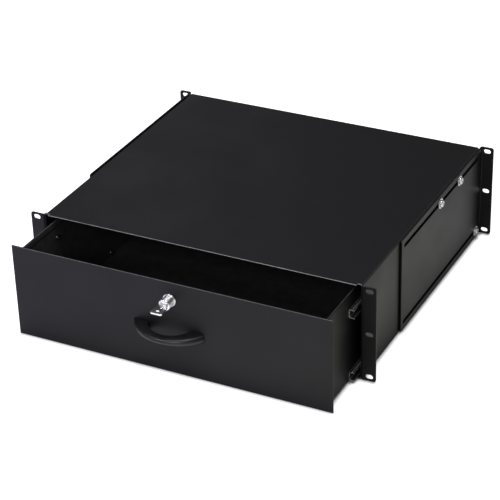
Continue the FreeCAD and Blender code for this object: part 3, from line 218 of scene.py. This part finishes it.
# Rear brackets: plates with two long slots and a slotted ear, folded from 2 mm sheet.
# They are powder coated like the case and slide along it on the bracket screws.
finish(coat, "rear_bracket_left", "rear_bracket_right")

# Bracket screws: M5 pan-head screws with a cross recess, six in all, bright zinc plated.
# They are cold-headed with rolled threads and clamp the brackets to the rivet nuts.
BRACKET_SCREW = {"head": 0.005, "rise": 0.0032, "thread": 0.0025, "length": 0.01, "pitch": 0.0008}
# Head outline and recess are shares of the head's radius and rise, the thread's depth one of its pitch.
HEAD_PROFILE = ((0.62, 1), (0.8, 0.95), (0.93, 0.78), (0.99, 0.5), (1, 0.28), (1, 0.06), (0.96, 0))
RECESS_TOP, RECESS_FLOOR, RECESS_DEPTH = 0.5, 0.34, 0.6
THREAD_DEPTH = 0.32
SEGMENTS = 24
ARM_CORNER = 2 * math.pi / SEGMENTS
SHARP_ANGLE = math.radians(33)


def metal(name, dark, pale, roughness, grain_size, rounding, stretch=(1, 1, 1)):
    """Bare or plated metal with mottled tint and gloss, and slightly broken edges."""
    material, tree, shader, place = new_material(name, pale, roughness)
    shader.inputs["Metallic"].default_value = 1.0
    grain = noise(tree, place, grain_size, stretch=stretch)
    tint = noise(tree, place, 9 * grain_size, detail=3.0)
    tree.links.new(blend_colors(tree, spread(tree, tint, 0.0, 1.0), dark, pale), shader.inputs["Base Color"])
    tree.links.new(spread(tree, grain, 0.75 * roughness, 1.35 * roughness), shader.inputs["Roughness"])
    relief(tree, shader, grain, depth=0.000006, normal=rounded_normal(tree, rounding))
    return material


def solids_of(name):
    """The lowest and highest corners of each separate solid of a CAD node, from left to right."""
    mesh = bmesh.new()
    mesh.from_mesh(nodes[name].data)
    bmesh.ops.remove_doubles(mesh, verts=mesh.verts, dist=1e-6)
    left, boxes = set(mesh.verts), []
    while left:
        waiting, found = [left.pop()], []
        while waiting:
            vert = waiting.pop()
            found.append(vert.co.copy())
            for edge in vert.link_edges:
                other = edge.other_vert(vert)
                if other in left:
                    left.remove(other)
                    waiting.append(other)
        low, high = (Vector(pick(point[i] for point in found) for i in range(3)) for pick in (min, max))
        boxes.append((low, high))
    mesh.free()
    return sorted(boxes, key=lambda box: tuple(box[0]))


def cross_outline(angle, arm):
    """How far out a cross lies in that direction, with arms two segments of the circle wide."""
    turn = abs((angle + math.pi / 4) % (math.pi / 2) - math.pi / 4)
    if turn < 1.1 * ARM_CORNER:
        return arm / math.cos(turn)
    return arm * math.tan(ARM_CORNER) / math.sin(turn)


def pan_head_screw(mesh, seat, inward, head, rise, thread, length, pitch):
    """Adds a screw with a ringed shank and a cross recess, whose head sits on seat.

    Head and thread are radii, rise is the head's height and length is the shank's, in metres.
    """
    screw = bmesh.new()
    depth = THREAD_DEPTH * pitch
    profile = [(out * head, up * rise) for out, up in HEAD_PROFILE] + [(thread, 0)]
    for turn in range(int((length - 0.5 * pitch) / pitch)):
        profile += [(thread - depth, -(turn + 0.5) * pitch), (thread, -(turn + 1) * pitch)]
    profile += [(thread - 2 * depth, -length), (0, -length)]
    verts = [screw.verts.new((radius, 0, level)) for radius, level in profile]
    edges = [screw.edges.new(pair) for pair in zip(verts, verts[1:])]
    bmesh.ops.spin(
        screw, geom=verts + edges, cent=(0, 0, 0), axis=(0, 0, 1), angle=2 * math.pi,
        steps=SEGMENTS, use_merge=True,
    )
    bmesh.ops.remove_doubles(screw, verts=screw.verts, dist=1e-7)
    bmesh.ops.recalc_face_normals(screw, faces=screw.faces)
    rim = [edge for edge in screw.edges if edge.is_boundary]
    cap = bmesh.ops.edgeloop_fill(screw, edges=rim)["faces"]
    for sink, arm in ((0, RECESS_TOP * head), (RECESS_DEPTH * rise, RECESS_FLOOR * head)):
        region = bmesh.ops.extrude_face_region(screw, geom=cap)["geom"]
        bmesh.ops.delete(screw, geom=cap, context="FACES_ONLY")
        cap = [item for item in region if isinstance(item, bmesh.types.BMFace)]
        for vert in cap[0].verts:
            angle = math.atan2(vert.co.y, vert.co.x)
            reach = cross_outline(angle, arm)
            vert.co = (reach * math.cos(angle), reach * math.sin(angle), rise - sink)
    bmesh.ops.recalc_face_normals(screw, faces=screw.faces)
    turned = Vector((0, 0, -1)).rotation_difference(inward).to_matrix().to_4x4()
    bmesh.ops.transform(screw, matrix=Matrix.Translation(seat) @ turned, verts=screw.verts)
    piece = bpy.data.meshes.new("screw")
    screw.to_mesh(piece)
    screw.free()
    mesh.from_mesh(piece)
    bpy.data.meshes.remove(piece)


def add_piece(name, mesh, material, body, slot, *replaced):
    """Makes an object of a bmesh, smooth but for its sharp edges, and enters it."""
    data = bpy.data.meshes.new(name)
    mesh.to_mesh(data)
    mesh.free()
    for face in data.polygons:
        face.use_smooth = True
    data.set_sharp_from_angle(angle=SHARP_ANGLE)
    data.materials.append(material)
    piece = bpy.data.objects.new(name, data)
    bpy.context.scene.collection.objects.link(piece)
    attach(piece, body)
    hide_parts(*replaced)


def add_screws(name, node, material, body, inward, **size):
    """Replaces each plain screw of a CAD node; inward is its direction in the right half of the object."""
    screws = bmesh.new()
    for low, high in solids_of(node):
        into = Vector(inward)
        if low.x < 0:
            into.x = -into.x
        middle, half = (low + high) / 2, (high - low) / 2
        head_end = middle - into * abs(half.dot(into))
        pan_head_screw(screws, head_end + into * size["rise"], into, **size)
    add_piece(name, screws, material, body, "zinc_steel", node)


zinc = metal(
    "bright_zinc", dark=(0.6, 0.6, 0.58), pale=(0.74, 0.76, 0.8), roughness=0.28,
    grain_size=0.0004, rounding=0.0002,
)
add_screws("bracket_screw_set", "bracket_screws", zinc, "case", (-1, 0, 0), **BRACKET_SCREW)

# Washers under those screws, and the rivet nuts that they go into, in the case's sides.
# Both are zinc-plated steel; the nuts are set from outside, so that their flanges space the brackets.
finish(zinc, "bracket_washers", "rivet_nuts")

# Ball slides: two on each side, a case rail and a drawer rail with round races between them.
# They are roll-formed strip with a dark oiled passivation, worn bright on lips and ends, where a painted
# highlight also lies.
SLIDES = [f"{row}_{side}" for row in ("lower", "upper") for side in ("left", "right")]
RAIL_BLACK, RAIL_BARE_HIGHLIGHT = (0.06, 0.06, 0.062), (0.75, 0.76, 0.78)
rail_finish, tree, shader, place = new_material("dark_rolled_steel", RAIL_BLACK, 0.34)
shader.inputs["Metallic"].default_value = 0.6
normal = rounded_normal(tree, radius=0.0004)
drawn = noise(tree, place, size=0.0005, stretch=(1, 60, 1))
patches = spread(tree, noise(tree, place, size=0.004), 0.4, 1.0)
lips = math_node(tree, "MULTIPLY", edge_share(tree, place, normal), patches)
# Painted highlight: the ends that face the front are paled, along with the worn lips.
highlit_cut_ends = spread(tree, parts_of(tree, normal)["Y"], 0.0, 0.4, start=-0.9, stop=-0.99)
worn_and_highlit = math_node(tree, "MAXIMUM", lips, highlit_cut_ends)
tree.links.new(blend_colors(tree, worn_and_highlit, RAIL_BLACK, RAIL_BARE_HIGHLIGHT), shader.inputs["Base Color"])
tree.links.new(spread(tree, drawn, 0.26, 0.42), shader.inputs["Roughness"])
relief(tree, shader, drawn, depth=0.000008, normal=normal)
for slide in SLIDES:
    finish(rail_finish, f"case_rail_{slide}", f"drawer_rail_{slide}")

# Ball cages: a thin stamped strip in each slide that holds four balls above and four below.
# They are zinc-plated spring steel; the balls are polished bearing steel with a film of grease.
cage_zinc = metal(
    "cage_zinc", dark=(0.42, 0.42, 0.4), pale=(0.55, 0.56, 0.58), roughness=0.34,
    grain_size=0.0006, rounding=0.00015, stretch=(1, 12, 1),
)
for slide in SLIDES:
    finish(cage_zinc, f"ball_cage_{slide}")
greased = metal(
    "greased_ball_steel", dark=(0.5, 0.48, 0.42), pale=(0.78, 0.78, 0.8), roughness=0.09,
    grain_size=0.0005, rounding=0.0001,
)
finish(greased, "slide_balls_left", "slide_balls_right")

# Rivets: three to a case rail, with countersunk heads flush in its web and flush with the case outside.
# They are steel, closed before the case is coated, so they carry its black coat.
finish(coat, "rail_rivets")

# Drawer tray: floor, two sides with a hem along the rim, and front and rear walls.
# It is 1.2 mm sheet, welded at the corners and coated like the case; inside, a pale film is both dust and
# painted fill light.
# The tray's edges carry a faint painted highlight besides the rubbing.
TRAY_COAT = {"rubbed_highlight": (0.06, 0.06, 0.062), "rounding": 0.0006, "inside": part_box("drawer_end_front")[1].x}
# Inside the tray the film is dust and also painted fill light.
tray_coat = powder_coat("tray_powder_coat", dust_and_fill_light=(0.046, 0.044, 0.045), **TRAY_COAT)
finish(tray_coat, "drawer_floor", "drawer_end_front", "drawer_end_rear")
# The walls' copy is paler, painted fill light for walls that the lamps reach less than the floor.
wall_coat = powder_coat("wall_powder_coat", dust_and_fill_light=(0.064, 0.062, 0.061), **TRAY_COAT)
finish(wall_coat, "drawer_side_left", "drawer_side_right")

# Drawer rail screws: small pan heads inside the tray that hold the drawer rails on.
# They have the bracket screws' cross recess, but a thinner zinc that has gone dull and dark.
RAIL_SCREW = {"head": 0.0035, "rise": 0.002, "thread": 0.00175, "length": 0.0024, "pitch": 0.0006}
dull_zinc = metal(
    "dull_zinc", dark=(0.12, 0.12, 0.12), pale=(0.2, 0.2, 0.21), roughness=0.4,
    grain_size=0.0004, rounding=0.0002,
)
add_screws("drawer_rail_screw_set", "drawer_rail_screws", dull_zinc, "drawer", (1, 0, 0), **RAIL_SCREW)

# Drawer front: a flat 1.5 mm panel with softened edges, coated like the case.
# Four studs welded behind it carry the hexagon nuts that clamp it to the tray.
# The panel's pale top edge line is the coat's painted highlight.
finish(coat, "drawer_front")
finish(zinc, "stud_nuts")

# Handle: an arched bow on two feet, injection moulded in black nylon with a fine spark texture.
# Its outside is crowned, with the ridge a quarter of the way up, and polished in patches by hands.
NYLON_BLACK = (0.006, 0.006, 0.0065)
CROWN_FALL = 0.003
TEXTURE_DEPTH = 0.000015
nylon, tree, shader, place = new_material("black_nylon", NYLON_BLACK, 0.38)
shader.inputs["Specular IOR Level"].default_value = 0.54
texture = noise(tree, place, size=0.00035, detail=3.0)
handled = spread(tree, noise(tree, place, size=0.015), 0.34, 0.43)
gloss = math_node(tree, "ADD", handled, spread(tree, texture, -0.03, 0.03))
tree.links.new(gloss, shader.inputs["Roughness"])
low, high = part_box("handle")
off_ridge = spread(tree, parts_of(tree, place)["Z"], -0.5, 1.5, start=low.z, stop=high.z)
crown = math_node(tree, "MULTIPLY", math_node(tree, "MULTIPLY", off_ridge, off_ridge), -CROWN_FALL)
surface = math_node(tree, "ADD", crown, math_node(tree, "MULTIPLY", texture, TEXTURE_DEPTH))
relief(tree, shader, surface, depth=1.0, normal=rounded_normal(tree, radius=0.0015))
finish(nylon, "handle")

# Handle screws: two pan heads inside the tray, through its front into the handle's feet.
# They are zinc-plated steel with a cross recess, as the drawer rail screws are.
HANDLE_SCREW = {"head": 0.004, "rise": 0.0024, "thread": 0.002, "length": 0.0107, "pitch": 0.0007}
add_screws("handle_screw_set", "handle_screws", zinc, "drawer", (0, -1, 0), **HANDLE_SCREW)

# Lock: a turned housing with a collar on the panel, and the plug that turns in it.
# Both are die-cast zinc, polished and chromed; fine turning marks run round the barrel.
chrome, tree, shader, place = new_material("bright_chrome", (0.95, 0.95, 0.96), 0.42)
shader.inputs["Metallic"].default_value = 1.0
shader.inputs["Anisotropic"].default_value = 1.0
shader.inputs["Anisotropic Rotation"].default_value = 0.25
around = tree.nodes.new("ShaderNodeTangent")
around.direction_type = "RADIAL"
around.axis = "Y"
tree.links.new(around.outputs["Tangent"], shader.inputs["Tangent"])
tree.links.new(spread(tree, noise(tree, place, size=0.004), 0.38, 0.46), shader.inputs["Roughness"])
turning = noise(tree, place, size=0.0002, detail=1.0, stretch=(400, 1, 400))
relief(tree, shader, turning, depth=0.000004, normal=rounded_normal(tree, radius=0.00025))
finish(chrome, "lock_housing", "lock_plug")
finish(zinc, "lock_nut")

# Key: stamped brass, nickel plated, with a raised pad on the bow and cuts along the blade.
# It is brushed lengthwise.
nickel = metal(
    "brushed_nickel", dark=(0.8, 0.79, 0.74), pale=(0.95, 0.95, 0.92), roughness=0.19,
    grain_size=0.00025, rounding=0.00025, stretch=(1, 25, 1),
)
finish(nickel, "key")

# Cam and its screw: a stamped plate on the plug's square end, which turns up behind the keeper.
# Both are zinc-plated steel; the screw has the same cross recess as the others.
CAM_SCREW = {"head": 0.004, "rise": 0.0022, "thread": 0.0015, "length": 0.005, "pitch": 0.0005}
finish(zinc, "lock_cam")
add_screws("cam_screw_detail", "cam_screw", zinc, "lock_cylinder", (0, -1, 0), **CAM_SCREW)

# Studio floor: a plain pale sheet, white to the camera, with a painted contact shadow where its glow fades
# close to the object.
# Where the object mirrors it, its glow is a painted reflection: cool at the left, olive at the right, grey
# behind, darker near the object.
FLOOR_HALF = 12
FLOOR_WHITE, FLOOR_COOL = (1.0, 1.0, 1.0), (0.78, 0.74, 1.0)
FLOOR_OLIVE, FLOOR_GREY = (0.72, 0.75, 0.5), (0.5, 0.5, 0.49)
FLOOR_SHARES = {"Is Camera Ray": 0.92, "Is Transmission Ray": 0.8, "Is Glossy Ray": 0.74}


def seen_rays(tree, shares):
    """Sum of the light path's outputs, each weighted by its share."""
    path = tree.nodes.new("ShaderNodeLightPath")
    total = 0.0
    for name, share in shares.items():
        total = math_node(tree, "ADD", math_node(tree, "MULTIPLY", path.outputs[name], share), total)
    return total


floor_mesh = bmesh.new()
bmesh.ops.create_grid(floor_mesh, x_segments=1, y_segments=1, size=FLOOR_HALF)
bmesh.ops.translate(floor_mesh, verts=floor_mesh.verts, vec=(0, 0, cad_box[0].z))
mesh = bpy.data.meshes.new("floor")
floor_mesh.to_mesh(mesh)
floor_mesh.free()
floor = bpy.data.objects.new("floor", mesh)
bpy.context.scene.collection.objects.link(floor)
paper, tree, shader, place = new_material("floor_paper", (0.8, 0.8, 0.8), 1.0)
shader.inputs["Specular IOR Level"].default_value = 0.0
seen = tree.nodes.new("ShaderNodeLightPath").outputs["Is Camera Ray"]
# Painted shadow: ambient occlusion dims the floor's glow within 8 mm for the camera and 6 cm in reflections.
shade = tree.nodes.new("ShaderNodeAmbientOcclusion")
shade.samples = 8
tree.links.new(spread(tree, seen, 0.06, 0.008, start=0.0, stop=1.0), shade.inputs["Distance"])
painted_contact_shade = spread(tree, shade.outputs["AO"], 0.0, 1.0, start=0.5, stop=0.95)
spot = parts_of(tree, place)
from_left = spread(tree, spot["X"], 0.0, 1.0, start=-0.22, stop=0.12)
to_right = spread(tree, spot["X"], 0.0, 1.0, start=0.15, stop=0.35)
to_rear = spread(tree, spot["Y"], 0.0, 1.0, start=0.15, stop=0.5)
# Painted reflection colours: rays other than the camera's see the floor tinted by place.
tint = blend_colors(tree, from_left, FLOOR_COOL, FLOOR_WHITE)
tint = blend_colors(tree, to_right, tint, FLOOR_OLIVE)
tint = blend_colors(tree, to_rear, tint, FLOOR_GREY)
tree.links.new(blend_colors(tree, seen, tint, FLOOR_WHITE), shader.inputs["Emission Color"])
glow = math_node(tree, "MULTIPLY", seen_rays(tree, FLOOR_SHARES), painted_contact_shade)
tree.links.new(glow, shader.inputs["Emission Strength"])
mesh.materials.append(paper)

# Studio surroundings: a room that is dim and even for the object.
# It is white where the camera looks past the floor.
ROOM_LIGHT = 0.15
ROOM_SHARES = {"Is Camera Ray": 0.8, "Is Transmission Ray": 0.6}
world = bpy.data.worlds.new("studio")
bpy.context.scene.world = world
world.use_nodes = True
tree = world.node_tree
sky = tree.nodes["Background"]
sky.inputs["Color"].default_value = (1, 1, 1, 1)
tree.links.new(math_node(tree, "ADD", seen_rays(tree, ROOM_SHARES), ROOM_LIGHT), sky.inputs["Strength"])

# Softboxes: four fabric-fronted lamps that stand round the object or hang above it.
# They are cool at the front left and the rear, and plain above and in front.
COOL_LIGHT, PLAIN_LIGHT, WHITE_LIGHT = (0.84, 0.8, 1.0), (0.96, 0.95, 1.0), (1, 1, 1)


def area_lamp(name, place, target, size, power, color):
    """A rectangular lamp of that width and height, turned to the target."""
    lamp = bpy.data.lights.new(name, "AREA")
    lamp.shape = "RECTANGLE"
    lamp.size, lamp.size_y = size
    lamp.energy = power
    lamp.color = color
    softbox = bpy.data.objects.new(name, lamp)
    bpy.context.scene.collection.objects.link(softbox)
    softbox.location = place
    softbox.rotation_mode = "QUATERNION"
    softbox.rotation_quaternion = (Vector(target) - Vector(place)).to_track_quat("-Z", "Y")


area_lamp("left_softbox", (-1.05, -1.4, 1.95), (0, 0, 0), (0.6, 0.6), 21, COOL_LIGHT)
area_lamp("top_softbox", (0.15, 0.1, 2.3), (0, 0, 0), (2.2, 0.5), 23, PLAIN_LIGHT)
area_lamp("front_softbox", (0.5, -2.5, 1.65), (0, 0, 0), (0.7, 0.7), 22, WHITE_LIGHT)
area_lamp("rear_softbox", (-1.15, 1.7, 1.0), (-0.1, 0.1, 0), (0.6, 0.5), 0.9, COOL_LIGHT)

# Camera: at the photograph's place, with its lens and directions fitted to the ears' corners and slots.
# It stands to the right of the object, in front of it and above it.
CAMERA_PLACE = (0.9551, -1.7059, 1.17355)
CAMERA_AHEAD = (-0.3989, 0.7721, -0.4947)
CAMERA_RIGHT = (0.8949, 0.4455, -0.0263)
camera = bpy.data.cameras.new("camera")
camera.lens = 130.83
camera.sensor_width = 36
camera.clip_end = 50
eye = bpy.data.objects.new("camera", camera)
bpy.context.scene.collection.objects.link(eye)
ahead = Vector(CAMERA_AHEAD).normalized()
right = Vector(CAMERA_RIGHT)
right = (right - right.dot(ahead) * ahead).normalized()
up = right.cross(ahead)
turn = Matrix((right, up, -ahead)).transposed().to_4x4()
eye.matrix_world = Matrix.Translation(CAMERA_PLACE) @ turn
bpy.context.scene.camera = eye
bpy.context.scene.view_settings.view_transform = "Standard"
